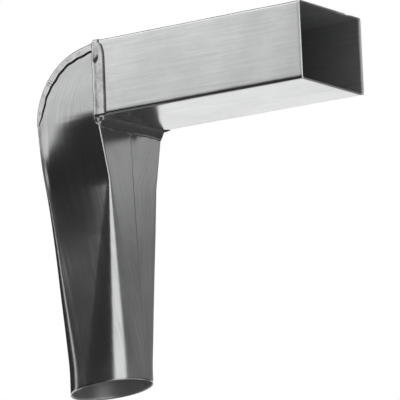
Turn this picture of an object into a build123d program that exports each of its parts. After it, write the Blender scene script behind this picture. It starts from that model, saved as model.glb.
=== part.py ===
from build123d import *
import os
from math import cos, radians, sin, tan

# Gutter outlet in soldered sheet zinc. The origin is the middle of the outlet's rim, on the drop's plumb
# axis. +X runs to the inlet's open mouth, +Y to the back and +Z up. All sizes are in millimetres.

# Sheet and folds
SHEET = 0.8
INSIDE_FOLD_RADIUS = 2.0

# Inlet box, outside sizes. Its length is from the throat, where it meets the drop, to its open mouth.
BOX_WIDTH = 105.0
BOX_HEIGHT = 74.0
BOX_LENGTH = 232.5

# Drop: from the box's underside to the middle of the rim. Its shoulder narrows to the outlet's width, and
# below that it turns from square to round. The rim rises towards the inlet.
DROP_LENGTH = 254.0
SHOULDER_LENGTH = 58.0
OUTLET_DIAMETER = 79.0
SPIGOT_LENGTH = 21.0
RIM_SLANT_DEGREES = 7.8
ROUND_SIDE_DEGREES = 2.0

# Heel: a quarter turn that ends in a straight slope, which meets the box's end a step below the box's top
HEEL_SLOPE_DEGREES = 12.0
HEEL_FLAT = 14.7
HEEL_STEP = 2.5

# Collar that the cheeks make beside the end of the box, with its upper corner rounded off, the gap between
# them, and how far the box reaches in
COLLAR_LENGTH = 8.5
COLLAR_GAP = 0.2
COLLAR_ROUND_WIDTH = 6.0
COLLAR_ROUND_HEIGHT = 17.0
BOX_INSERT = 2.0

# Lap seams: the width of the overlap and where the outer sheet's edge runs
LAP_WIDTH = 12.0
DROP_LAP_Y = 0.0
BOX_LAP_Y = 26.0

# Solder: the flat bead over the collar with a tongue at its top, the beads on the heel's edges and the
# wedge under the box
BEAD_HEIGHT = 0.9
COLLAR_BEAD_WIDTH = 12.8
COLLAR_BEAD_LIP = 1.0
COLLAR_BEAD_TAIL = 9.0
TONGUE_LENGTH = 18.0
TONGUE_WIDTH = 8.0
TONGUE_HEIGHT = 0.6
HEEL_BEAD_WIDTH = 11.0
HEEL_BEAD_TAPER_DEGREES = 24.0
HEEL_BEAD_TIP_WIDTH = 2.0
HEEL_BEAD_TIP_INSET = 1.2
THROAT_BEAD_DROP = 10.0
THROAT_BEAD_REACH = 4.0
THROAT_BEAD_BULGE = 0.4
THROAT_BLOB_RADIUS = 3.0

# Worked out from the sizes above
fold_radius = INSIDE_FOLD_RADIUS + SHEET
outlet_radius = OUTLET_DIAMETER / 2
elbow_half_width = BOX_WIDTH / 2 + COLLAR_GAP + SHEET
underside_z = DROP_LENGTH
shoulder_z = underside_z - SHOULDER_LENGTH
box_top_z = underside_z + BOX_HEIGHT
heel_turn = radians(HEEL_SLOPE_DEGREES)
heel_end_z = box_top_z - HEEL_STEP
heel_radius = (heel_end_z - underside_z - HEEL_FLAT * tan(heel_turn)) / cos(heel_turn)
heel_x = -outlet_radius
heel_centre_x = heel_x + heel_radius
heel_end_x = heel_centre_x - heel_radius * sin(heel_turn) + HEEL_FLAT
box_end_x = heel_end_x + COLLAR_GAP
throat_x = box_end_x + BOX_INSERT
shoulder_x = throat_x + (outlet_radius - throat_x) * SHOULDER_LENGTH / (DROP_LENGTH - SPIGOT_LENGTH)
collar_x = throat_x + COLLAR_LENGTH
collar_bead_x = collar_x - COLLAR_BEAD_WIDTH
rim_turn = radians(RIM_SLANT_DEGREES)
overrun = OUTLET_DIAMETER
heel_axis = Axis((heel_centre_x, 0, underside_z), (0, 1, 0))


def square_outline(x_low, x_high, half_width, corner):
    """Face of a rectangle with round corners, drawn from its +X side in eight edges."""
    with BuildLine(mode=Mode.PRIVATE) as outline:
        near, far = half_width - corner, x_high - corner
        left = x_low + corner
        Line((x_high, -near), (x_high, near))
        CenterArc((far, near), corner, 0, 90)
        Line((far, half_width), (left, half_width))
        CenterArc((left, near), corner, 90, 90)
        Line((x_low, near), (x_low, -near))
        CenterArc((left, -near), corner, 180, 90)
        Line((left, -half_width), (far, -half_width))
        CenterArc((far, -near), corner, 270, 90)
    return make_face(outline.line, mode=Mode.PRIVATE)


def round_outline(radius):
    """Face of a circle in eight edges: a short arc for each flat side and a long one for each corner."""
    with BuildLine(mode=Mode.PRIVATE) as outline:
        for side in range(4):
            middle = 90 * side
            CenterArc((0, 0), radius, middle - ROUND_SIDE_DEGREES / 2, ROUND_SIDE_DEGREES)
            CenterArc((0, 0), radius, middle + ROUND_SIDE_DEGREES / 2, 90 - ROUND_SIDE_DEGREES)
    return make_face(outline.line, mode=Mode.PRIVATE)


def heel_plane(turn, reach):
    """Plane square to the heel's run, with +X outwards, at a turn from plumb and a reach from the centre."""
    angle = radians(turn)
    return Plane(
        (heel_centre_x - reach * cos(angle), 0, underside_z + reach * sin(angle)),
        x_dir=(-cos(angle), 0, sin(angle)),
        z_dir=(sin(angle), 0, cos(angle)),
    )


def drop_form(inset, run_past):
    """Solid form of elbow, drop and spigot, with every wall drawn in and both ends run past."""
    half_width = elbow_half_width - inset
    radius = heel_radius - inset
    corner = fold_radius - inset
    with BuildPart() as form:
        # elbow: the folded section from the heel's centre outwards, turned up and run on along the slope
        for turn in (0, 90 - HEEL_SLOPE_DEGREES):
            with BuildSketch(heel_plane(turn, 0)) as section:
                with Locations((radius / 2, 0)):
                    Rectangle(radius, 2 * half_width)
                fillet(section.vertices().group_by(Axis.X)[-1], corner)
            if turn == 0:
                revolve(axis=heel_axis, revolution_arc=90 - HEEL_SLOPE_DEGREES)
            else:
                extrude(amount=HEEL_FLAT + 2 * overrun)
        split(bisect_by=Plane.YZ.offset(heel_end_x + run_past), keep=Keep.BOTTOM)
        # drop: the flat shoulder, then sides that bend and corners that open until they make the round
        shoulder = (heel_x + inset, shoulder_x - inset, outlet_radius - inset, corner)
        with BuildSketch(Plane.XY.offset(underside_z)):
            add(square_outline(heel_x + inset, throat_x - inset, half_width, corner))
        with BuildSketch(Plane.XY.offset(shoulder_z)):
            add(square_outline(*shoulder))
        loft(ruled=True)
        with BuildSketch(Plane.XY.offset(shoulder_z)):
            add(square_outline(*shoulder))
        with BuildSketch(Plane.XY.offset(SPIGOT_LENGTH)):
            add(round_outline(outlet_radius - inset))
        loft(ruled=True)
        # spigot
        with BuildSketch(Plane.XY.offset(SPIGOT_LENGTH)):
            Circle(outlet_radius - inset)
        extrude(amount=-(SPIGOT_LENGTH + overrun))
    return form.part


outer_form = drop_form(0, 0)
inner_form = drop_form(SHEET, overrun)

# Inner layer of the drop's lap seam: a strip one sheet thick on the inside of the inner face
with BuildPart() as drop_lap:
    add(inner_form)
    add(drop_form(2 * SHEET, overrun), mode=Mode.SUBTRACT)
    with BuildSketch(Plane.XY.offset(-overrun)):
        with Locations((outlet_radius, DROP_LAP_Y)):
            Rectangle(OUTLET_DIAMETER, 2 * LAP_WIDTH)
    extrude(amount=overrun + underside_z, mode=Mode.INTERSECT)


def lap_dip(x_face):
    """Face of the wedge by which the back sheet dips under the front sheet's edge at this depth."""
    outside_x = x_face + SHEET
    with BuildLine(mode=Mode.PRIVATE) as wedge:
        Polyline(
            (x_face - SHEET, DROP_LAP_Y),
            (outside_x, DROP_LAP_Y),
            (outside_x, DROP_LAP_Y + 2 * LAP_WIDTH),
            close=True,
        )
    return make_face(wedge.line, mode=Mode.PRIVATE)


def cheek_lap(right_x, lift):
    """Face of one cheek's lap over the box, in side view: a plumb right edge that rounds off to the top."""
    top_z = box_top_z - fold_radius + lift
    low_z = top_z - COLLAR_ROUND_HEIGHT
    turn_x = right_x - COLLAR_ROUND_WIDTH
    left_z = heel_end_z - (heel_end_x - collar_bead_x) * tan(heel_turn) - fold_radius + lift
    with BuildLine(mode=Mode.PRIVATE) as outline:
        Line((right_x, underside_z), (right_x, low_z))
        EllipticalCenterArc(
            (turn_x, low_z), COLLAR_ROUND_WIDTH, COLLAR_ROUND_HEIGHT, start_angle=0, arc_size=90
        )
        Polyline(
            (turn_x, top_z),
            (collar_bead_x, left_z),
            (collar_bead_x, underside_z),
            (right_x, underside_z),
        )
    return make_face(outline.line, mode=Mode.PRIVATE)


# Elbow, drop and spigot, one folded sheet
with BuildPart() as drop_elbow:
    add(outer_form)
    add(inner_form, mode=Mode.SUBTRACT)
    for side in (-1, 1):
        with BuildSketch(Plane.XZ.offset(-side * elbow_half_width)):
            add(cheek_lap(collar_x, 0))
        extrude(amount=side * SHEET)
    add(drop_lap.part)
    with BuildSketch(Plane.XY.offset(underside_z)):
        add(lap_dip(throat_x))
    with BuildSketch(Plane.XY.offset(SPIGOT_LENGTH)):
        add(lap_dip(outlet_radius))
    loft(ruled=True, mode=Mode.SUBTRACT)
    with BuildSketch(Plane.XY.offset(SPIGOT_LENGTH)):
        add(lap_dip(outlet_radius))
    extrude(amount=-(SPIGOT_LENGTH + overrun), mode=Mode.SUBTRACT)
    rim_plane = Plane((0, 0, 0), x_dir=(0, 1, 0), z_dir=(-sin(rim_turn), 0, cos(rim_turn)))
    split(bisect_by=rim_plane, keep=Keep.TOP)

# Inlet box, one folded sheet with its lap seam along the top
with BuildPart() as inlet_box:
    with BuildSketch(Plane.YZ.offset(box_end_x)):
        with Locations((0, underside_z + BOX_HEIGHT / 2)):
            RectangleRounded(BOX_WIDTH, BOX_HEIGHT, fold_radius)
            RectangleRounded(BOX_WIDTH - 2 * SHEET, BOX_HEIGHT - 2 * SHEET, INSIDE_FOLD_RADIUS,
                             mode=Mode.SUBTRACT)
        with Locations((BOX_LAP_Y, box_top_z - 1.5 * SHEET)):
            Rectangle(2 * LAP_WIDTH, SHEET)
        with BuildLine():
            Polyline(
                (BOX_LAP_Y, box_top_z - SHEET),
                (BOX_LAP_Y, box_top_z),
                (BOX_LAP_Y + LAP_WIDTH, box_top_z),
                close=True,
            )
        make_face(mode=Mode.SUBTRACT)
    extrude(amount=BOX_INSERT + BOX_LENGTH)

# The box filled solid, to seat the solder on its outside
with BuildPart() as box_form:
    with BuildSketch(Plane.YZ.offset(box_end_x)):
        with Locations((0, underside_z + BOX_HEIGHT / 2)):
            RectangleRounded(BOX_WIDTH, BOX_HEIGHT, fold_radius)
    extrude(amount=BOX_INSERT + BOX_LENGTH)


def bead_section(side, turn, width, inset):
    """Face of a heel bead's rounded square section, seated over the fold between heel and cheek."""
    with BuildSketch(heel_plane(turn, heel_radius - inset), mode=Mode.PRIVATE) as section:
        with Locations((0, -side * (elbow_half_width - inset))):
            RectangleRounded(width, width, width * (fold_radius + BEAD_HEIGHT) / HEEL_BEAD_WIDTH)
    return section.sketch.face()


def heel_bead(side):
    """Bead of solder over one edge of the heel, tapering to a tip where the drop begins."""
    inset = HEEL_BEAD_WIDTH / 2 - BEAD_HEIGHT
    slope_turn = 90 - HEEL_SLOPE_DEGREES
    full = bead_section(side, HEEL_BEAD_TAPER_DEGREES, HEEL_BEAD_WIDTH, inset)
    middle_width = (HEEL_BEAD_WIDTH + HEEL_BEAD_TIP_WIDTH) / 2
    middle_inset = (inset + HEEL_BEAD_TIP_INSET) / 2
    middle = bead_section(side, HEEL_BEAD_TAPER_DEGREES / 2, middle_width, middle_inset)
    tip = bead_section(side, 0, HEEL_BEAD_TIP_WIDTH, HEEL_BEAD_TIP_INSET)
    with BuildPart() as bead:
        revolve(full, axis=heel_axis, revolution_arc=slope_turn - HEEL_BEAD_TAPER_DEGREES)
        extrude(bead_section(side, slope_turn, HEEL_BEAD_WIDTH, inset), amount=HEEL_FLAT)
        split(bisect_by=Plane.YZ.offset(collar_bead_x), keep=Keep.BOTTOM)
        loft([full, middle, tip])
        add(outer_form, mode=Mode.SUBTRACT)
    return bead.part


heel_solder_front = heel_bead(-1)
heel_solder_back = heel_bead(1)

# Bead over the collar: down both cheeks, with a round tail on each of the drop's corners and a tongue at
# the top, and a fillet across the top in the step between the heel and the box
with BuildPart() as collar_solder:
    for side in (-1, 1):
        with BuildSketch(Plane.XZ.offset(-side * (elbow_half_width + BEAD_HEIGHT))):
            add(cheek_lap(collar_x + COLLAR_BEAD_LIP, BEAD_HEIGHT))
            with BuildLine():
                Polyline(
                    (throat_x, underside_z - COLLAR_BEAD_TAIL),
                    (throat_x, underside_z + COLLAR_BEAD_TAIL),
                    (collar_bead_x, underside_z + COLLAR_BEAD_TAIL),
                    (collar_bead_x, underside_z),
                )
                RadiusArc(
                    (collar_bead_x, underside_z),
                    (throat_x, underside_z - COLLAR_BEAD_TAIL),
                    -COLLAR_BEAD_TAIL,
                )
            make_face()
        extrude(amount=side * (fold_radius + BEAD_HEIGHT))
        with BuildSketch(Plane.XZ.offset(-side * (elbow_half_width + BEAD_HEIGHT + TONGUE_HEIGHT))):
            tongue_z = heel_end_z - fold_radius - TONGUE_LENGTH / 2
            with Locations((collar_bead_x + TONGUE_WIDTH / 2, tongue_z)):
                SlotOverall(TONGUE_LENGTH, TONGUE_WIDTH, rotation=90)
        extrude(amount=side * (TONGUE_HEIGHT + BEAD_HEIGHT))
    with BuildSketch(Plane.XZ):
        with BuildLine():
            Polyline(
                (collar_bead_x, heel_end_z - fold_radius - COLLAR_BEAD_WIDTH * tan(heel_turn)),
                (collar_bead_x, heel_end_z + BEAD_HEIGHT - (heel_end_x - collar_bead_x) * tan(heel_turn)),
                (box_end_x, box_top_z),
                (box_end_x, heel_end_z - fold_radius),
                close=True,
            )
        make_face()
    extrude(amount=elbow_half_width, both=True)
    add(outer_form, mode=Mode.SUBTRACT)
    add(drop_elbow.part, mode=Mode.SUBTRACT)
    add(box_form.part, mode=Mode.SUBTRACT)

# Wedge of solder under the box, with a blob at its front end
with BuildPart() as throat_solder:
    with BuildSketch(Plane.XZ):
        with BuildLine():
            Line((throat_x - SHEET, underside_z), (throat_x + THROAT_BEAD_REACH, underside_z))
            SagittaArc(
                (throat_x + THROAT_BEAD_REACH, underside_z),
                (throat_x, underside_z - THROAT_BEAD_DROP),
                THROAT_BEAD_BULGE,
            )
            Line((throat_x, underside_z - THROAT_BEAD_DROP), (throat_x - SHEET, underside_z))
        make_face()
    extrude(amount=elbow_half_width - fold_radius, both=True)
    blob_x = throat_x + THROAT_BEAD_REACH
    with Locations((blob_x, fold_radius - elbow_half_width, underside_z - THROAT_BLOB_RADIUS / 2)):
        Sphere(THROAT_BLOB_RADIUS)
    add(outer_form, mode=Mode.SUBTRACT)
    add(drop_elbow.part, mode=Mode.SUBTRACT)
    add(box_form.part, mode=Mode.SUBTRACT)
    add(collar_solder.part, mode=Mode.SUBTRACT)

os.makedirs("parts", exist_ok=True)
pieces = {
    "inlet_box": inlet_box.part,
    "drop_elbow": drop_elbow.part,
    "collar_solder": collar_solder.part,
    "heel_solder_front": heel_solder_front,
    "heel_solder_back": heel_solder_back,
    "throat_solder": throat_solder.part,
}
for name, piece in pieces.items():
    piece.label = name
    export_step(piece, f"parts/{name}.step")
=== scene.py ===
"""Soldered sheet-zinc gutter outlet: rectangular inlet box, quarter-round elbow, square-to-round drop."""
from math import cos, pi, radians, sin, tan
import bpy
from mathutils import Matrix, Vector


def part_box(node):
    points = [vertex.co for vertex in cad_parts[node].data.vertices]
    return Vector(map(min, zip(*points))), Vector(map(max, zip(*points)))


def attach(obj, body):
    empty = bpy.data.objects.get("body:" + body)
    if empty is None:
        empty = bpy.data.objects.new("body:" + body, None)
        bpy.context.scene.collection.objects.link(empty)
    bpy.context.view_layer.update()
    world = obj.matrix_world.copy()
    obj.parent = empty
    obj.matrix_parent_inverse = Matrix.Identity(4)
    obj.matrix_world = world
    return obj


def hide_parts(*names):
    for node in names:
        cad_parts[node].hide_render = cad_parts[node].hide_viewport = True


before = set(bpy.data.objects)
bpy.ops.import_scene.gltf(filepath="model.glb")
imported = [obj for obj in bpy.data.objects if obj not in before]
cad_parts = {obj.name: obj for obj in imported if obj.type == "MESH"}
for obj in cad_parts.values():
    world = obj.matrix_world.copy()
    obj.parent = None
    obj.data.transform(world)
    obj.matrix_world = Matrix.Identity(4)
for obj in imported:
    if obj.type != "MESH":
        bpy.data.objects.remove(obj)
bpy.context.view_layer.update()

from types import SimpleNamespace

import bpy
import numpy as np
from bpy.props import FloatProperty, FloatVectorProperty, PointerProperty
from mathutils import Matrix

bl_info = {
    "name": "Zinc gutter outlet",
    "version": (1, 0, 0),
    "blender": (4, 5, 0),
    "location": "3D View > Sidebar > Outlet",
    "description": "Builds a soldered sheet-zinc gutter outlet and the white stage it is photographed on",
    "category": "Add Mesh",
}

INLET_LOW, INLET_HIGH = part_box("inlet_box")
MM = 0.001
HEEL_HOLD = 0.55
HOLD_DEPTH = 1.1
HOLD_FALL = 3.4
SHOULDER_BEND = 0.12


class OutletSizes(bpy.types.PropertyGroup):
    """Sizes of the sheets and the solder."""

    sheet: FloatProperty(name="Sheet", description="Thickness of the zinc", default=0.8 * MM, unit="LENGTH")
    fold: FloatProperty(name="Fold", description="Outside radius of a fold", default=2.8 * MM, unit="LENGTH")
    box_width: FloatProperty(
        name="Box width",
        description="Outside width of the inlet box",
        default=INLET_HIGH[1] - INLET_LOW[1],
        unit="LENGTH",
    )
    box_height: FloatProperty(
        name="Box height",
        description="Outside height of the inlet box",
        default=INLET_HIGH[2] - INLET_LOW[2],
        unit="LENGTH",
    )
    box_length: FloatProperty(
        name="Box length", description="From the throat to the mouth", default=232.5 * MM, unit="LENGTH"
    )
    drop_length: FloatProperty(
        name="Drop length",
        description="From the rim's middle to the box's underside",
        default=254 * MM,
        unit="LENGTH",
    )
    shoulder: FloatProperty(
        name="Shoulder", description="Height over which the drop narrows", default=58 * MM, unit="LENGTH"
    )
    outlet: FloatProperty(name="Outlet", description="Diameter of the spigot", default=79 * MM, unit="LENGTH")
    spigot: FloatProperty(
        name="Spigot", description="Length of the round end", default=21 * MM, unit="LENGTH"
    )
    rim_slant: FloatProperty(
        name="Rim slant", description="Angle at which the rim is cut", default=radians(7.8), subtype="ANGLE"
    )
    heel_slope: FloatProperty(
        name="Heel slope", description="Slope of the heel at the box", default=radians(12), subtype="ANGLE"
    )
    heel_flat: FloatProperty(
        name="Heel flat", description="Run of the heel's straight slope", default=14.7 * MM, unit="LENGTH"
    )
    heel_step: FloatProperty(
        name="Heel step",
        description="Step from the heel up to the box's top",
        default=2.5 * MM,
        unit="LENGTH",
    )
    collar: FloatProperty(
        name="Collar", description="Lap of the cheeks beside the box", default=8.5 * MM, unit="LENGTH"
    )
    gap: FloatProperty(name="Gap", description="Room between collar and box", default=0.2 * MM, unit="LENGTH")
    insert: FloatProperty(
        name="Insert", description="Reach of the box past the throat", default=2 * MM, unit="LENGTH"
    )
    lap: FloatProperty(name="Lap", description="Width of a lap seam", default=12 * MM, unit="LENGTH")
    bead: FloatProperty(name="Bead", description="Height of the solder", default=0.9 * MM, unit="LENGTH")
    waviness: FloatProperty(
        name="Waviness", description="How far the sheet strays from flat", default=0.16 * MM, unit="LENGTH"
    )


class OutletFinish(bpy.types.PropertyGroup):
    """Colours and gloss of the metals."""

    zinc: FloatVectorProperty(
        name="Zinc",
        description="Colour of the sheet",
        default=(0.66, 0.665, 0.67),
        subtype="COLOR",
        min=0,
        max=1,
    )
    solder: FloatVectorProperty(
        name="Solder",
        description="Colour of the solder",
        default=(0.68, 0.68, 0.675),
        subtype="COLOR",
        min=0,
        max=1,
    )
    zinc_roughness: FloatProperty(
        name="Zinc roughness", description="Roughness of the bare sheet", default=0.19, min=0, max=1
    )
    solder_roughness: FloatProperty(
        name="Solder roughness", description="Roughness of the solder", default=0.2, min=0, max=1
    )


class OutletStage(bpy.types.PropertyGroup):
    """Camera, floor and cards."""

    camera_place: FloatVectorProperty(
        name="Camera place",
        description="Where the camera stands",
        default=(2.20114, -3.06795, -0.53082),
        subtype="XYZ",
        size=3,
    )
    camera_azimuth: FloatProperty(
        name="Camera azimuth", description="Turn from the front", default=radians(34.2767), subtype="ANGLE"
    )
    camera_elevation: FloatProperty(
        name="Camera elevation",
        description="Height above the horizon",
        default=radians(-10.6711),
        subtype="ANGLE",
    )
    camera_roll: FloatProperty(
        name="Camera roll", description="Roll about the view", default=radians(-2.3475), subtype="ANGLE"
    )
    camera_lens: FloatProperty(name="Camera lens", description="Focal length in millimetres", default=360.0)
    floor_height: FloatProperty(
        name="Floor height", description="Height of the floor", default=-0.85, unit="LENGTH"
    )
    card_distance: FloatProperty(
        name="Card distance", description="From the outlet to the cards", default=1.6, unit="LENGTH"
    )


class Tone:
    """A shader tree's output socket. Arithmetic on it adds Math nodes, and make adds any other node."""

    def __init__(self, tree, socket=None):
        self.tree = tree
        self.socket = socket

    def make(self, kind, settings, sockets, output=0):
        """Adds a node, sets its settings first and then its sockets, and gives one of its outputs."""
        node = self.tree.nodes.new(kind)
        for key, value in settings.items():
            setattr(node, key, value)
        for key, value in sockets.items():
            if isinstance(value, Tone):
                self.tree.links.new(value.socket, node.inputs[key])
            else:
                node.inputs[key].default_value = value
        return Tone(self.tree, node.outputs[output]) if node.outputs else None

    def maths(self, operation, first, second):
        return self.make("ShaderNodeMath", {"operation": operation}, {0: first, 1: second})

    def __add__(self, other):
        return self.maths("ADD", self, other)

    def __radd__(self, other):
        return self.maths("ADD", other, self)

    def __sub__(self, other):
        return self.maths("SUBTRACT", self, other)

    def __rsub__(self, other):
        return self.maths("SUBTRACT", other, self)

    def __mul__(self, other):
        return self.maths("MULTIPLY", self, other)

    def __rmul__(self, other):
        return self.maths("MULTIPLY", other, self)

    def noise(self, place, scale, detail, roughness=0.5):
        """Value of a noise texture at these coordinates."""
        sockets = {"Vector": place, "Scale": scale, "Detail": detail, "Roughness": roughness}
        return self.make("ShaderNodeTexNoise", {}, sockets)

    def stretched(self, place, scale):
        """Coordinates stretched by a scale for each axis."""
        return self.make("ShaderNodeMapping", {}, {"Vector": place, "Scale": scale})

    def ramp(self, value, low, high):
        """Value carried from the range low to high onto 0 to 1, with smooth ends."""
        settings = {"interpolation_type": "SMOOTHSTEP"}
        return self.make("ShaderNodeMapRange", settings, {"Value": value, "From Min": low, "From Max": high})

    def mix_colour(self, factor, first, second):
        """Mix of two colours."""
        settings = {"data_type": "RGBA"}
        return self.make("ShaderNodeMix", settings, {0: factor, 6: first, 7: second}, output=2)


def new_material(name):
    """An empty material of this name, and the start of its tree."""
    material = bpy.data.materials.new(name)
    material.use_nodes = True
    material.node_tree.nodes.clear()
    return material, Tone(material.node_tree)


def shaded(colour, level):
    """The colour times a level, with full alpha."""
    return (colour[0] * level, colour[1] * level, colour[2] * level, 1.0)


def zinc_finish(finish, name, grain, level=1.0, dull=0.0):
    """Rolled zinc: fine streaks along the rolling direction, cloudy patina and small smears.

    Grain is the scale of the streaks' coordinates, in cycles a metre along the sheet's two directions. Level
    lightens or darkens the sheet, and dull is its share of matt patina.
    """
    material, tree = new_material(name)
    place = tree.make("ShaderNodeUVMap", {"uv_map": "sheet"}, {})
    streaks = tree.noise(tree.stretched(place, grain), 1.0, 4.0, 0.62)
    lines = tree.noise(tree.stretched(place, [0.35 * grain[0], 0.35 * grain[1], 1.0]), 1.0, 2.0)
    cloud = tree.noise(tree.stretched(place, (14.0, 14.0, 1.0)), 1.0, 5.0, 0.6)
    smear = tree.ramp(tree.noise(tree.stretched(place, (38.0, 26.0, 1.0)), 1.0, 6.0, 0.7), 0.55, 0.75)
    grey = tree.ramp(0.55 * cloud + 0.45 * streaks, 0.3, 0.7)
    colour = tree.mix_colour(grey, shaded(finish.zinc, 0.83 * level), shaded(finish.zinc, 1.08 * level))
    bare = finish.zinc_roughness + 2.3 * dull - 0.05
    roughness = bare + 0.06 * streaks + 0.04 * cloud + 0.05 * smear
    height = 0.6 * streaks + 0.4 * lines
    bump = tree.make("ShaderNodeBump", {}, {"Strength": 0.13, "Distance": 0.0004, "Height": height})
    sockets = {"Base Color": colour, "Metallic": 1.0 - dull, "Roughness": roughness, "Normal": bump}
    shader = tree.make("ShaderNodeBsdfPrincipled", {}, sockets)
    tree.make("ShaderNodeOutputMaterial", {}, {"Surface": shader})
    return material


def solder_finish(finish):
    """Soft solder: bright, with small dull patches, a pitted skin and a dark line of painted shade along its
    toes, where the bead meets the sheet.
    """
    material, tree = new_material("soft_solder")
    place = tree.make("ShaderNodeTexCoord", {}, {}, output=3)
    cloud = tree.noise(place, 90.0, 4.0, 0.6)
    pits = tree.noise(place, 650.0, 3.0, 0.6)
    dull = tree.ramp(cloud, 0.45, 0.7)
    clean = tree.mix_colour(dull, shaded(finish.solder, 1.02), shaded(finish.solder, 0.8))
    # painted shade: a dark line along the bead's toes, where the bead meets the sheet
    painted_toe_shade = tree.make("ShaderNodeAttribute", {"attribute_name": "painted_toe_shade"}, {}, output="Fac")
    colour = tree.mix_colour(painted_toe_shade * (0.75 + 0.25 * cloud), clean, shaded(finish.solder, 0.1))
    roughness = finish.solder_roughness - 0.06 + 0.12 * dull + 0.08 * pits
    height = 0.7 * cloud + 0.3 * pits
    bump = tree.make("ShaderNodeBump", {}, {"Strength": 0.12, "Distance": 0.0006, "Height": height})
    sockets = {"Base Color": colour, "Metallic": 1.0, "Roughness": roughness, "Normal": bump}
    shader = tree.make("ShaderNodeBsdfPrincipled", {}, sockets)
    tree.make("ShaderNodeOutputMaterial", {}, {"Surface": shader})
    return material


def outlet_shape(context):
    """Places worked out from the sizes, as the sheets are set out: heel plumb, throat from the heel's run."""
    size = context.scene.outlet_sizes
    shape = SimpleNamespace(size=size)
    shape.radius = size.outlet / 2
    shape.half = size.box_width / 2 + size.gap + size.sheet
    shape.under = size.drop_length
    shape.shoulder_z = shape.under - size.shoulder
    shape.top = shape.under + size.box_height
    shape.heel_end_z = shape.top - size.heel_step
    rise = shape.heel_end_z - shape.under - size.heel_flat * tan(size.heel_slope)
    shape.heel_radius = rise / cos(size.heel_slope)
    shape.heel_x = -shape.radius
    shape.centre_x = shape.heel_x + shape.heel_radius
    shape.heel_end_x = shape.centre_x - shape.heel_radius * sin(size.heel_slope) + size.heel_flat
    shape.box_end_x = shape.heel_end_x + size.gap
    shape.throat_x = shape.box_end_x + size.insert
    shape.collar_x = shape.throat_x + size.collar
    shape.mouth_x = shape.throat_x + size.box_length
    return shape


def smooth(value):
    """Smoothstep of a value clipped to 0 to 1."""
    value = np.clip(value, 0.0, 1.0)
    return value * value * (3.0 - 2.0 * value)


def spans(marks, counts):
    """Runs from mark to mark, each span cut into its count of equal steps, row by row."""
    pieces = [marks[0]]
    for start, end, count in zip(marks[:-1], marks[1:], counts):
        steps = np.linspace(0.0, 1.0, count + 1)[1:]
        pieces.append(start + (end - start) * steps)
    return np.concatenate(pieces, axis=1)


def ring(half_p, half_q, radius, run):
    """Points and outward normals on a rounded rectangle, at arc lengths from the middle of its +p side.

    The run goes towards -q, on through the four sides and past the start. Sides and corners alternate: at a
    corner the normal turns evenly, on a side the point lies before the next corner by what is left of it.
    """
    side_p = half_p - radius
    side_q = half_q - radius
    arc = radius * pi / 2
    lengths = [side_q, arc, 2 * side_p, arc, 2 * side_q, arc, 2 * side_p, arc, 2 * side_q, arc]
    ends = np.cumsum(np.stack([np.broadcast_to(length, run.shape) for length in lengths]), axis=0)
    index = (run[None] >= ends[:-1]).sum(axis=0)
    left = np.take_along_axis(ends, index[None], axis=0)[0] - run
    corner = index % 2 == 1
    quarter = index // 2
    angle = quarter * pi / 2 + np.where(corner, pi / 2 - left / radius, 0.0)
    straight = np.where(corner, 0.0, left)
    sign_p = np.array([1.0, -1.0, -1.0, 1.0])[quarter % 4]
    sign_q = np.array([-1.0, -1.0, 1.0, 1.0])[quarter % 4]
    p = sign_p * side_p + radius * np.cos(angle) + straight * np.sin(angle)
    q = sign_q * side_q - radius * np.sin(angle) + straight * np.cos(angle)
    return p, q, np.cos(angle), -np.sin(angle)


def ripple(u, v, seed):
    """Slow waves of a hand-worked sheet: four crossed sines, about 1 high, with lengths of 55 to 160 mm."""
    waves = (
        np.sin(u * 39.0 + v * 17.0 + seed)
        + np.sin(v * 63.0 - u * 21.0 + 2.1 * seed)
        + 0.7 * np.sin(u * 88.0 + 1.3 * seed)
        + 0.6 * np.sin(v * 112.0 + u * 45.0 + 0.7 * seed)
    )
    return waves / 3.3


def grid_faces(index, flip):
    """Quads of a grid of vertex numbers, as an array of four numbers a face."""
    corners = [index[:-1, :-1], index[:-1, 1:], index[1:, 1:], index[1:, :-1]]
    if flip:
        corners.reverse()
    return np.stack(corners, axis=-1).reshape(-1, 4)


def put_mesh(name, points, faces, uv=None, caps=()):
    """A smooth mesh object at the origin from arrays of points and quads, with its sheet coordinates."""
    mesh = bpy.data.meshes.new(name)
    polygons = faces.tolist() + [cap.tolist() for cap in caps]
    mesh.from_pydata(points.reshape(-1, 3).tolist(), [], polygons)
    if uv is not None:
        corner = np.empty(len(mesh.loops), dtype=np.int32)
        mesh.loops.foreach_get("vertex_index", corner)
        layer = mesh.uv_layers.new(name="sheet")
        layer.data.foreach_set("uv", uv.reshape(-1, 2)[corner].astype(np.float32).ravel())
    mesh.polygons.foreach_set("use_smooth", np.ones(len(mesh.polygons), dtype=bool))
    mesh.update()
    piece = bpy.data.objects.new(name, mesh)
    bpy.context.scene.collection.objects.link(piece)
    return piece


def put_tube(name, rings, toe_shades=None):
    """A closed bead from rings of points, row by row, with a flat cap at each end.

    The last argument gives each column of the rings its share of the painted shade along the bead's edges.
    """
    rows, columns = rings.shape[:2]
    index = np.arange(rows * columns).reshape(rows, columns)
    wrapped = np.concatenate([index, index[:, :1]], axis=1)
    piece = put_mesh(name, rings, grid_faces(wrapped, False), None, (index[0], index[-1][::-1]))
    if toe_shades is not None:
        layer = piece.data.attributes.new("painted_toe_shade", "FLOAT", "POINT")
        layer.data.foreach_set("value", np.tile(toe_shades, rows).astype(np.float32))
    return piece


def toe_shade_line(across, width):
    """Share of the painted shade along a bead's toes, across the bead: full at both edges, gone at a width
    from them.
    """
    return 1.0 - smooth((0.5 - np.abs(across - 0.5)) / width)


def thicken(piece, thickness):
    """Thickens a sheet inwards from its outer face, with the next material on its inner face and edges."""
    solid = piece.modifiers.new("thickness", "SOLIDIFY")
    solid.thickness = thickness
    solid.offset = -1.0
    solid.use_even_offset = True
    solid.use_quality_normals = True
    solid.material_offset = 1
    solid.material_offset_rim = 1


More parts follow.
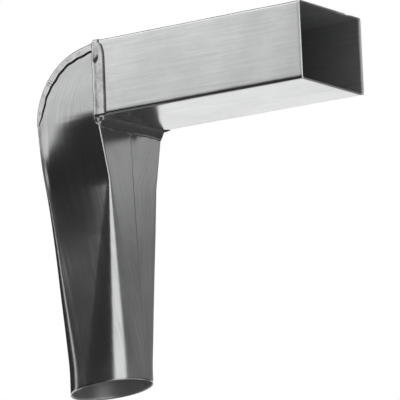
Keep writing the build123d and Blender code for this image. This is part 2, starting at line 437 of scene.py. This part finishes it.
def finish_piece(piece, material, slot, *nodes):
    """Gives a piece its material and its body, and hides the nodes that it stands for. The slot is not used.
    """
    piece.data.materials.append(material)
    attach(piece, "root")
    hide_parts(*nodes)


def eased(height, start, end, bend):
    """Share of the way from start to end, held at 0 before and 1 after, with both bends rounded."""
    share = (height - start) / (end - start)
    foot = np.where(share < bend, np.clip(share + bend, 0.0, None) ** 2 / (4 * bend), share)
    rest = 1.0 - foot
    return 1.0 - np.where(rest < bend, np.clip(rest + bend, 0.0, None) ** 2 / (4 * bend), rest)


def narrowing(shape, height):
    """How far the drop's front and back have drawn in from the cheeks at a height, by the inner face."""
    return (shape.half - shape.radius) * (1.0 - eased(height, shape.shoulder_z, shape.under, SHOULDER_BEND))


def held_share(shape, height):
    """Share of the narrowing that the sheet can hold out against: all at the box, less and less below it."""
    depth = np.clip((shape.under - height) / shape.size.shoulder, 0.0, None)
    return smooth((height - shape.size.spigot) / (60 * MM)) / (1.0 + (depth / HOLD_DEPTH) ** HOLD_FALL)


def held_edge(shape, x, height):
    """How far the heel's side of the drop stands out from the narrowing, fading evenly to the inner face."""
    way = np.clip((x - shape.heel_x) / (shape.throat_x - shape.heel_x), 0.0, 1.0)
    return HEEL_HOLD * narrowing(shape, height) * held_share(shape, height) * (1.0 - way)


def held_middle(shape, x, height):
    """How far the front and back swell beyond their edges, most at a quarter of the way from the heel.

    Together with the edge it holds out against the whole narrowing there, and against none by the inner face.
    """
    way = np.clip((x - shape.heel_x) / (shape.throat_x - shape.heel_x), 0.0, 1.0)
    whole = (HEEL_HOLD + (1.0 - HEEL_HOLD) * smooth(way / 0.18)) * (1.0 - smooth((way - 0.2) / 0.8))
    return narrowing(shape, height) * held_share(shape, height) * whole - held_edge(shape, x, height)


def drop_section(shape, height):
    """Half width, inner face and corner radius of the drop at a height."""
    square = eased(height, shape.size.spigot, shape.shoulder_z, 0.06)
    lean = eased(height, shape.size.spigot, shape.under, 0.05)
    half = shape.half - narrowing(shape, height)
    inner_x = shape.radius + (shape.throat_x - shape.radius) * lean
    corner = shape.radius + (shape.size.fold - shape.radius) * square
    return half, inner_x, corner


def widened(start, end, least):
    """Two marks moved apart about their middle, where they stand closer than the least."""
    spread = np.maximum((end - start) / 2, least)
    middle = (start + end) / 2
    return middle - spread, middle + spread


def heel_path(shape, run):
    """Points and outward normals of the heel in side view: plumb, a turn about its centre, then the slope."""
    turned = shape.heel_radius * (pi / 2 - shape.size.heel_slope)
    angle = np.clip(run, 0.0, turned) / shape.heel_radius
    before = np.clip(run, None, 0.0)
    after = np.clip(run - turned, 0.0, None)
    x = shape.centre_x - shape.heel_radius * np.cos(angle) + after * cos(shape.size.heel_slope)
    z = shape.under + shape.heel_radius * np.sin(angle) + before + after * sin(shape.size.heel_slope)
    return x, z, -np.cos(angle), np.sin(angle)


def heel_point(shape, run, across, lift, side):
    """Point over the heel's edge: on the cheek for across below 0, round the fold, then on the heel."""
    fold = shape.size.fold
    quarter = fold * pi / 2
    angle = np.clip(across, 0.0, quarter) / fold
    depth = fold - (fold + lift) * np.sin(angle) - np.clip(across, None, 0.0)
    width = shape.half - fold + (fold + lift) * np.cos(angle) - np.clip(across - quarter, 0.0, None)
    x, z, out_x, out_z = heel_path(shape, run)
    height = z - depth * out_z
    drawn = narrowing(shape, height) - held_edge(shape, x, height)
    return np.stack([x - depth * out_x, side * width * (1.0 - drawn / shape.half), height], axis=-1)


class OUTLET_OT_inlet_box(bpy.types.Operator):
    """Adds the inlet box, one sheet folded to a tube with a lap seam along its top."""

    bl_idname = "outlet.inlet_box"
    bl_label = "Inlet box"

    def execute(self, context):
        shape = outlet_shape(context)
        size = shape.size
        half_p, half_q, fold = size.box_height / 2, size.box_width / 2, size.fold
        lap_edge = -26 * MM
        arc = fold * pi / 2
        side_p, side_q = 2 * (half_p - fold), 2 * (half_q - fold)
        marks = np.cumsum([side_q / 2, arc, side_p, arc, side_q, arc, side_p, arc, side_q / 2])
        seam = marks[-1] + lap_edge
        stops = [lap_edge, *marks[:8], seam - size.lap, seam, seam + size.lap]
        columns = spans([np.array([[stop]]) for stop in stops], [34, 10, 30, 10, 44, 10, 30, 10, 6, 8, 6])
        along = np.linspace(shape.box_end_x, shape.mouth_x, 72)[:, None]
        run = np.broadcast_to(columns, (len(along), columns.shape[1]))
        p, q, out_p, out_q = ring(half_p, half_q, fold, run)
        dip = 1.02 * size.sheet * smooth((run - seam + size.lap) / size.lap)
        flat = np.minimum(np.abs(p), half_p - fold) / half_p * np.minimum(np.abs(q), half_q - fold) / half_q
        wave = size.waviness * ripple(run, along, 1.7) * (1.0 - smooth((flat - 0.9) / 0.08))
        lift = wave - dip
        x = np.broadcast_to(along, run.shape)
        z = shape.under + half_p + p + lift * out_p
        points = np.stack([x, q + lift * out_q, z], axis=-1)
        index = np.arange(run.size).reshape(run.shape)
        uv = np.stack([run, x], axis=-1)
        piece = put_mesh("zinc_inlet_box", points, grid_faces(index, False), uv)
        thicken(piece, size.sheet)
        finish = context.scene.outlet_finish
        grain = (340.0, 15.0, 1.0)
        # the box's zinc is painted 18 % lighter than the drop's, as a painted brighter reflection
        finish_piece(piece, zinc_finish(finish, "zinc_box", grain, 1.18), "zinc", "inlet_box")
        piece.data.materials.append(zinc_finish(finish, "zinc_box_inside", grain, 0.95, 0.11))
        return {"FINISHED"}


class OUTLET_OT_drop_elbow(bpy.types.Operator):
    """Adds the elbow, drop and spigot, one sheet with a lap seam down its inner face."""

    bl_idname = "outlet.drop_elbow"
    bl_label = "Elbow and drop"

    def execute(self, context):
        shape = outlet_shape(context)
        size = shape.size
        fold = size.fold
        # drop: a rounded rectangle at each height, from the slanted rim up to the box's underside
        low, foot, head = 12 * MM, 34 * MM, 180 * MM
        levels = spans([np.array([[stop]]) for stop in (0.0, low, foot, head, shape.under)], [5, 14, 44, 44])
        level = levels.reshape(-1, 1)
        half_q, inner_x, corner = drop_section(shape, level)
        half_p = (inner_x - shape.heel_x) / 2
        middle = (inner_x + shape.heel_x) / 2
        side_p, side_q, arc = half_p - corner, half_q - corner, corner * pi / 2
        edge = 0.0 * side_q
        marks = np.cumsum(
            np.stack([side_q, arc, 2 * side_p, arc, 2 * side_q, arc, 2 * side_p, arc, side_q]), axis=0
        )
        first = np.maximum(marks[0], edge + 0.4 * MM)
        seam = marks[8] + edge
        before = np.minimum(marks[7], seam - size.lap - 0.4 * MM)
        least = 12 * MM
        stops = [edge, first, *widened(marks[1], marks[2], least), *widened(marks[3], marks[4], least)]
        stops += [*widened(marks[5], marks[6], least), before, seam - size.lap, seam, seam + size.lap]
        counts = [18, 14, 40, 18, 34, 18, 40, 14, 8, 10, 6]
        run = spans(stops, counts)
        p, q, out_p, out_q = ring(half_p, half_q, corner, run)
        dip = 1.02 * size.sheet * smooth((run - seam + size.lap) / size.lap)
        calm = smooth((level - 20 * MM) / (60 * MM))
        lift = size.waviness * calm * ripple(run - marks[2], level, 4.1) - dip
        x = middle + p + lift * out_p
        slant = x * tan(size.rim_slant) * (1.0 - np.clip(level / low, 0.0, 1.0))
        wide_q = q * (1.0 + held_edge(shape, x, level) / half_q)
        y = wide_q + (lift + held_middle(shape, x, level) * np.abs(out_q)) * out_q
        drop = np.stack([x, y, np.broadcast_to(level, run.shape) + slant], axis=-1)
        drop_uv = np.stack([run - marks[2], np.broadcast_to(level, run.shape)], axis=-1)
        # elbow: cheeks and heel, row by row along the heel's run
        turned = shape.heel_radius * (pi / 2 - size.heel_slope)
        total = turned + size.heel_flat / cos(size.heel_slope)
        rows = np.concatenate([np.linspace(0.0, turned, 56)[1:], np.linspace(turned, total, 9)[1:]])[:, None]
        cheek, bent, wide = counts[2], counts[3], counts[4]
        x_fold = heel_path(shape, rows)[0] - fold * heel_path(shape, rows)[2]
        reach = np.maximum(shape.throat_x - fold - x_fold, 0.05 * MM)
        quarter = fold * pi / 2
        share = np.linspace(0.0, 1.0, cheek + 1)
        angle = np.linspace(0.0, quarter, bent + 1)[None, 1:] + 0.0 * rows
        width = shape.half - fold
        level_z = heel_path(shape, rows)[1] - fold * heel_path(shape, rows)[3]
        front_x = x_fold + reach * (1.0 - share)
        held = held_edge(shape, front_x, level_z) + held_middle(shape, front_x, level_z)
        front_y = narrowing(shape, level_z) - held - shape.half
        front = np.stack([front_x, front_y, level_z + 0.0 * share], axis=-1)
        front_fold = heel_point(shape, rows, angle, 0.0, -1.0)
        over = quarter + np.linspace(0.0, 2.0 * width, wide + 1)[None, 1:] + 0.0 * rows
        heel = heel_point(shape, rows, over, 0.0, -1.0)
        back_fold = heel_point(shape, rows, quarter - angle, 0.0, 1.0)
        back = (front * [1.0, -1.0, 1.0])[:, -2::-1]
        elbow = np.concatenate([front, front_fold, heel, back_fold, back], axis=1)
        place = np.concatenate(
            [
                -reach * share[::-1],
                angle,
                over,
                over[:, -1:] + angle,
                over[:, -1:] + quarter + reach * share[1:],
            ],
            axis=1,
        )
        along = shape.under + np.broadcast_to(rows, place.shape)
        wave = size.waviness * smooth(rows / (30 * MM)) * ripple(place, along, 4.1)
        lifted = elbow + wave[..., None] * elbow_normals(shape, rows, elbow)
        elbow_uv = np.stack([place, along], axis=-1)
        points = np.concatenate([drop.reshape(-1, 3), lifted.reshape(-1, 3)])
        uv = np.concatenate([drop_uv.reshape(-1, 2), elbow_uv.reshape(-1, 2)])
        index = np.arange(run.size).reshape(run.shape)
        start = sum(counts[:2])
        shared = index[-1:, start:start + elbow.shape[1]]
        upper = np.concatenate([shared, run.size + np.arange(place.size).reshape(place.shape)])
        faces = np.concatenate([grid_faces(index, True), grid_faces(upper, True)])
        piece = put_mesh("zinc_drop_elbow", points, faces, uv)
        thicken(piece, size.sheet)
        finish = context.scene.outlet_finish
        grain = (460.0, 13.0, 1.0)
        finish_piece(piece, zinc_finish(finish, "zinc_drop", grain), "zinc", "drop_elbow")
        piece.data.materials.append(zinc_finish(finish, "zinc_drop_inside", grain, 0.95, 0.11))
        return {"FINISHED"}


def elbow_normals(shape, rows, points):
    """Outward normals of the elbow's points: along Y on the cheeks, square to the heel's run on the heel."""
    out_x, out_z = heel_path(shape, rows)[2:]
    y = points[..., 1]
    flat = shape.half - shape.size.fold
    turn = np.clip((np.abs(y) - flat) / shape.size.fold, 0.0, 1.0)
    share = np.sqrt(1.0 - turn * turn)
    return np.stack([share * out_x, np.sign(y) * turn, share * out_z], axis=-1)


class OUTLET_OT_heel_solder(bpy.types.Operator):
    """Adds the two beads of solder along the curved edges of the heel."""

    bl_idname = "outlet.heel_solder"
    bl_label = "Heel solder"

    def execute(self, context):
        shape = outlet_shape(context)
        material = solder_finish(context.scene.outlet_finish)
        for side, name in ((-1.0, "front"), (1.0, "back")):
            piece = put_tube(f"solder_heel_{name}", *heel_bead(shape, side))
            finish_piece(piece, material, "solder", f"heel_solder_{name}")
        return {"FINISHED"}


def heel_bead(shape, side):
    """Rings of a heel bead: a flat crown over the fold with a ridge by its inner edge, tapering to its tip.

    Three short trains of ripples, where the iron rested, cross the crown at their own places along the run.
    """
    size = shape.size
    turned = shape.heel_radius * (pi / 2 - size.heel_slope)
    run = np.linspace(0.1 * MM, turned + 13 * MM, 170)[:, None]
    fade = 1.0 - np.exp(-run / (9 * MM))
    sway = 1.0 + 0.05 * np.sin(run * 170.0 + side) + 0.04 * np.sin(run * 430.0 + 2.0 * side)
    cheek = (0.5 * MM + 6.2 * MM * fade) * sway
    heel = (0.5 * MM + 5.5 * MM * fade) * (2.0 - sway)
    across = np.linspace(0.0, 1.0, 49)
    crown = 1.0 - np.abs(2.0 * across - 1.0) ** 8
    ridge = 0.3 * np.exp(-((across - 0.13) / 0.06) ** 2)
    rests = 0.0 * run * across
    for place, slant in ((46 * MM, 2.0), (70 * MM, -3.0), (92 * MM, 4.0)):
        train = np.exp(-((run - place) / (3.5 * MM)) ** 2)
        rests = rests + train * np.sin((run - place) * 2200.0 + slant * across)
    waves = 0.05 * np.sin(run * 610.0 - 4.0 * across)
    lift = size.bead * (0.5 + 0.5 * fade) * crown * (0.72 + ridge + 0.22 * rests + waves)
    span = cheek + heel + size.fold * pi / 2
    top = heel_point(shape, run, span * across - cheek, lift - 0.05 * MM, side)
    under = np.linspace(1.0, 0.0, 14)[1:-1]
    bottom = heel_point(shape, run, span * under - cheek, -0.3 * MM + 0.0 * run * under, side)
    rings = np.concatenate([top, bottom], axis=1)
    toe_shades = np.concatenate([toe_shade_line(across, 0.1), np.ones(len(under))])
    return (rings, toe_shades) if side < 0 else (rings[:, ::-1], toe_shades[::-1])


class OUTLET_OT_collar_solder(bpy.types.Operator):
    """Adds the broad bead over the collar, up the front cheek, across the top and down the back."""

    bl_idname = "outlet.collar_solder"
    bl_label = "Collar solder"

    def execute(self, context):
        shape = outlet_shape(context)
        piece = put_tube("solder_collar", *collar_bead(shape))
        finish_piece(piece, solder_finish(context.scene.outlet_finish), "solder", "collar_solder")
        return {"FINISHED"}


def collar_bead(shape):
    """Rings of the collar bead: a band up the cheek, round the fold and across the top, then mirrored.

    Across the band the height has a rounded ridge by the left edge, a shallow dish and a thin right lip. Its
    upper right corner is an ellipse, its lower end a round tail that bends round the drop's corner, and its
    base rises from the heel's slope to the box's top.
    """
    size = shape.size
    band, lip_reach = 12.8 * MM, 1.0 * MM
    left_x = shape.collar_x - band
    right_x = shape.collar_x + lip_reach
    tail, round_w, round_h = 9 * MM, 6 * MM, 17 * MM
    fold = size.fold
    across = np.concatenate([np.linspace(0.0, 1.0, 41), np.linspace(1.0, 0.0, 16)[1:-1]])[None]
    buried = np.concatenate([np.zeros(41), np.ones(14)])[None]
    rise = np.concatenate([np.linspace(-1.0, 0.0, 16)[:-1], np.linspace(0.0, 1.0, 48)])[:, None]
    bent = np.linspace(0.0, pi / 2, 10)[1:]
    turn = np.concatenate([np.zeros(len(rise)), bent, np.full(24, pi / 2)])[:, None]
    rise = np.concatenate([rise, np.ones((33, 1))])
    over = np.concatenate([np.zeros(len(rise) - 24), np.linspace(0.0, 1.0, 25)[1:]])[:, None]
    # left and right edges of the band at each row
    high_z = shape.top - fold
    z = np.where(rise < 0.0, shape.under + rise * tail, shape.under + rise * (high_z - shape.under))
    drop_share = np.clip(-rise, 0.0, 1.0)
    left = shape.throat_x - (shape.throat_x - left_x) * np.sqrt(1.0 - drop_share ** 2)
    left = left + 0.25 * MM * np.sin(z * 240.0) * (rise > 0.0)
    climb = np.clip((z - high_z + round_h) / round_h, 0.0, 1.0)
    right = right_x - round_w + round_w * np.sqrt(1.0 - climb ** 2)
    right = np.where(rise < 0.0, right_x - (right_x - shape.throat_x) * smooth(-rise * 2.0), right)
    x = left + (right - left) * across
    # height of the solder over its base
    ridge = np.exp(-((across - 0.2) / 0.13) ** 2)
    lip = np.exp(-((across - 0.9) / 0.05) ** 2)
    body = 1.0 - np.abs(2.0 * across - 1.0) ** 10
    runs = 1.0 + 0.05 * np.sin(z * 420.0 + 3.0 * across) * (1.0 - over)
    tongue_half, tongue_wide = 9 * MM, 5 * MM
    tongue_z = (shape.heel_end_z - fold - tongue_half - z) / tongue_half
    tongue_x = (x - left_x - 4 * MM) / tongue_wide
    tongue = smooth(1.8 * (1.0 - np.hypot(tongue_z, tongue_x))) * (1.0 - over)
    lift = size.bead * body * (0.62 + 0.5 * ridge + 0.16 * lip) * runs + 0.6 * MM * tongue
    lift = np.where(buried > 0.0, -1.0 * MM, lift - 0.04 * MM)
    # base: the cheek, the fold at its own height for each x, and the top
    slope_z = shape.heel_end_z - (shape.heel_end_x - x) * tan(size.heel_slope)
    base_top = slope_z + (shape.top - slope_z) * smooth((x - shape.heel_end_x + 4 * MM) / (4.5 * MM))
    column_z = np.where(rise > 0.0, shape.under + rise * (base_top - fold - shape.under), z)
    half_low = drop_section(shape, np.minimum(column_z, shape.under))[0]
    half = np.where(rise < 0.0, half_low, shape.half)
    # below the box the band bends round the drop's corner
    corner_x = shape.throat_x - fold
    bend = np.clip((x - corner_x) / fold, 0.0, pi / 2)
    wrap = smooth(-rise * 3.0)
    bent_x = np.minimum(x, corner_x) + (fold + lift) * np.sin(bend)
    bent_y = half - fold + (fold + lift) * np.cos(bend)
    flat_y = half - fold + (fold + lift) * np.cos(turn)
    side_x = x + (bent_x - x) * wrap
    side_y = flat_y + (bent_y - flat_y) * wrap
    width = side_y - over * (shape.half - fold)
    height = column_z + (fold + lift) * np.sin(turn)
    front = np.stack([side_x, -width, height], axis=-1)
    back = (front * [1.0, -1.0, 1.0])[-2::-1]
    return np.concatenate([front, back]), np.maximum(toe_shade_line(across[0], 0.12), buried[0])


class OUTLET_OT_throat_solder(bpy.types.Operator):
    """Adds the wedge of solder under the box, across the top of the drop's inner face."""

    bl_idname = "outlet.throat_solder"
    bl_label = "Throat solder"

    def execute(self, context):
        shape = outlet_shape(context)
        material = solder_finish(context.scene.outlet_finish)
        piece = put_tube("solder_throat", throat_bead(shape))
        finish_piece(piece, material, "solder", "throat_solder")
        radius = 3.0 * MM
        middle = (shape.throat_x + 4.0 * MM, shape.size.fold - shape.half, shape.under - radius / 2)
        finish_piece(put_tube("solder_blob", blob(middle, radius)), material, "solder", "throat_solder")
        return {"FINISHED"}


def throat_bead(shape):
    """Rings of the throat wedge: a bulged slope from box to drop with a lip at its foot, carried along Y."""
    row = np.linspace(-1.0, 1.0, 120)[:, None]
    sway = 0.35 * MM * np.sin(row * 8.0) + 0.2 * MM * np.sin(row * 21.0 + 1.0)
    share = np.concatenate([np.linspace(0.0, 1.0, 30), [1.0, 0.0]])[None]
    buried = np.concatenate([np.zeros(30), np.ones(2)])[None]
    reach = 4.0 * MM + sway * 0.4
    drop = 10 * MM + sway
    z = shape.under - drop * share
    half, face = drop_section(shape, z)[:2]
    lip = 0.45 * MM * np.exp(-((share - 0.9) / 0.06) ** 2) * smooth((row + 0.4) / 0.8)
    bulge = 0.4 * MM * np.sin(pi * share) + lip
    x = np.where(buried > 0.0, face - 0.5 * MM, face + reach * (1.0 - share) + bulge + 0.0 * row)
    y = row * (half - 1.8 * MM)
    rings = np.stack([x, y, z + 0.1 * MM * (1.0 - share)], axis=-1)
    return rings[:, ::-1]


def blob(middle, radius):
    """Rings of a drop of solder, a ball with small flat poles."""
    turn = np.linspace(0.0, 2.0 * pi, 33)[None, :-1]
    rise = np.linspace(-0.49 * pi, 0.49 * pi, 20)[:, None]
    x = middle[0] + radius * np.cos(rise) * np.cos(turn)
    y = middle[1] + radius * np.cos(rise) * np.sin(turn)
    z = middle[2] + radius * np.sin(rise) + 0.0 * turn
    return np.stack([x, y, z], axis=-1)[:, ::-1]


def sky_patch(name, middle, distance, azimuth, low, high):
    """A card on a sphere about the outlet, between a low and a high edge that run through azimuth marks."""
    turn = np.linspace(azimuth[0], azimuth[-1], 97)[None]
    share = np.linspace(0.0, 1.0, 13)[:, None]
    lift = np.radians(np.interp(turn, azimuth, low) * (1.0 - share) + np.interp(turn, azimuth, high) * share)
    turn = np.radians(turn)
    x = middle[0] + distance * np.sin(turn) * np.cos(lift)
    y = middle[1] - distance * np.cos(turn) * np.cos(lift)
    z = middle[2] + distance * np.sin(lift)
    index = np.arange(x.size).reshape(x.shape)
    return put_mesh(name, np.stack([x, y, z], axis=-1), grid_faces(index, True))


def level_sheet(name, reach_x, reach_y, height):
    """A flat sheet at a height, facing up, between two marks along X and two along Y."""
    x, y = np.meshgrid(np.linspace(*reach_x, 13), np.linspace(*reach_y, 13))
    index = np.arange(x.size).reshape(x.shape)
    return put_mesh(name, np.stack([x, y, np.full_like(x, height)], axis=-1), grid_faces(index, False))


def card_finish(name, level):
    """A card that shows one even level in reflections."""
    material, tree = new_material(name)
    shader = tree.make("ShaderNodeEmission", {}, {"Color": (level, level, level, 1.0), "Strength": 1.0})
    tree.make("ShaderNodeOutputMaterial", {}, {"Surface": shader})
    return material


class OUTLET_OT_stage(bpy.types.Operator):
    """Adds the white surroundings, the floor, the dark cards, the lamps and the camera."""

    bl_idname = "outlet.stage"
    bl_label = "Stage"

    def execute(self, context):
        stage = context.scene.outlet_stage
        scene = context.scene
        scene.view_settings.view_transform = "Standard"
        self.add_surroundings(scene)
        self.add_floor(stage)
        middle = (0.09, 0.0, 0.2)
        # each card: azimuth marks, low and high edges there in degrees, and the level that it shows
        skyline = (5.0, 5.5, 8.8, 12.2)
        cards = {
            "card_front": ((-78.0, -46.0, -39.0, -35.0, 41.0), (-85.0,) * 5, (*skyline, 12.4), 0.03),
            "card_sky": ((-78.0, -46.0, -39.0, -35.0, -27.0), (*skyline, 12.2), (88.0,) * 5, 0.88),
            "card_sky_right": ((-27.0, 41.0), (12.2, 12.4), (88.0, 88.0), 0.6),
            "card_left": ((-152.0, -84.0), (-2.0, -20.0), (70.0, 70.0), 0.03),
            "card_right": ((76.0, 207.0), (12.0, 12.0), (45.0, 45.0), 0.44),
            "card_right_middle": ((76.0, 207.0), (-2.0, -2.0), (12.0, 12.0), 0.2),
            "card_right_low": ((76.0, 180.0), (-60.0, -60.0), (-2.0, -2.0), 0.06),
        }
        for name, (azimuth, low, high, level) in cards.items():
            card = sky_patch(name, middle, stage.card_distance, azimuth, low, high)
            self.hang_card(card, level)
        below = level_sheet("card_below", (-0.8, 0.5), (-1.1, 0.5), stage.floor_height + 0.02)
        self.hang_card(below, 0.03)
        lamp = bpy.data.lights.new("lamp_top", "AREA")
        lamp.energy = 26.0
        lamp.size = 1.6
        holder = bpy.data.objects.new("lamp_top", lamp)
        holder.location = (-0.6, -0.9, 2.2)
        holder.rotation_euler = (radians(22), radians(-14), 0.0)
        scene.collection.objects.link(holder)
        lens = bpy.data.cameras.new("camera")
        lens.lens = stage.camera_lens
        lens.sensor_width = 36.0
        lens.clip_end = 50.0
        camera = bpy.data.objects.new("camera", lens)
        turn = Matrix.Rotation(stage.camera_azimuth, 4, "Z")
        tilt = Matrix.Rotation(pi / 2 - stage.camera_elevation, 4, "X")
        roll = Matrix.Rotation(stage.camera_roll, 4, "Z")
        camera.matrix_world = Matrix.Translation(stage.camera_place) @ turn @ tilt @ roll
        scene.collection.objects.link(camera)
        scene.camera = camera
        return {"FINISHED"}

    def add_surroundings(self, scene):
        """White all round for the camera, gloss and glass, and an even pale light for the rest."""
        world = bpy.data.worlds.new("surroundings")
        world.use_nodes = True
        world.node_tree.nodes.clear()
        tree = Tone(world.node_tree)
        seen = tree.make("ShaderNodeLightPath", {}, {}, output="Is Camera Ray")
        gloss = tree.make("ShaderNodeLightPath", {}, {}, output="Is Glossy Ray")
        glass = tree.make("ShaderNodeLightPath", {}, {}, output="Is Transmission Ray")
        shown = tree.maths("MINIMUM", seen + gloss + glass, 1.0)
        light = tree.mix_colour(shown, (0.55, 0.55, 0.55, 1.0), (1.0, 1.0, 1.0, 1.0))
        shader = tree.make("ShaderNodeBackground", {}, {"Color": light, "Strength": 1.0})
        tree.make("ShaderNodeOutputWorld", {}, {"Surface": shader})
        scene.world = world

    def hang_card(self, card, level):
        """Gives a card its level, and shows it to reflections alone."""
        card.data.materials.append(card_finish(card.name, level))
        card.visible_camera = False
        card.visible_diffuse = False
        card.visible_shadow = False

    def add_floor(self, stage):
        """A wide pale floor, below the camera's line of sight."""
        floor = level_sheet("floor", (-3.0, 3.0), (-3.0, 3.0), stage.floor_height)
        material, tree = new_material("pale_floor")
        sockets = {"Base Color": (0.9, 0.9, 0.9, 1.0), "Roughness": 0.9}
        shader = tree.make("ShaderNodeBsdfPrincipled", {}, sockets)
        tree.make("ShaderNodeOutputMaterial", {}, {"Surface": shader})
        floor.data.materials.append(material)


class OUTLET_PT_panel(bpy.types.Panel):
    """Lists the outlet's pieces, sizes and finishes."""

    bl_idname = "OUTLET_PT_panel"
    bl_label = "Gutter outlet"
    bl_space_type = "VIEW_3D"
    bl_region_type = "UI"
    bl_category = "Outlet"

    def draw(self, context):
        column = self.layout.column()
        for operator in OPERATORS:
            column.operator(operator.bl_idname)
        for group in (context.scene.outlet_sizes, context.scene.outlet_finish, context.scene.outlet_stage):
            box = self.layout.box()
            for name in group.__annotations__:
                box.prop(group, name)


OPERATORS = (
    OUTLET_OT_inlet_box,
    OUTLET_OT_drop_elbow,
    OUTLET_OT_heel_solder,
    OUTLET_OT_collar_solder,
    OUTLET_OT_throat_solder,
    OUTLET_OT_stage,
)
GROUPS = {"outlet_sizes": OutletSizes, "outlet_finish": OutletFinish, "outlet_stage": OutletStage}


def register():
    for group in GROUPS.values():
        bpy.utils.register_class(group)
    for operator in OPERATORS:
        bpy.utils.register_class(operator)
    bpy.utils.register_class(OUTLET_PT_panel)
    for name, group in GROUPS.items():
        setattr(bpy.types.Scene, name, PointerProperty(type=group))


def unregister():
    for name in GROUPS:
        delattr(bpy.types.Scene, name)
    bpy.utils.unregister_class(OUTLET_PT_panel)
    for operator in reversed(OPERATORS):
        bpy.utils.unregister_class(operator)
    for group in reversed(list(GROUPS.values())):
        bpy.utils.unregister_class(group)


def main():
    register()
    bpy.ops.outlet.inlet_box()
    bpy.ops.outlet.drop_elbow()
    bpy.ops.outlet.heel_solder()
    bpy.ops.outlet.collar_solder()
    bpy.ops.outlet.throat_solder()
    bpy.ops.outlet.stage()


if __name__ == "__main__":
    main()
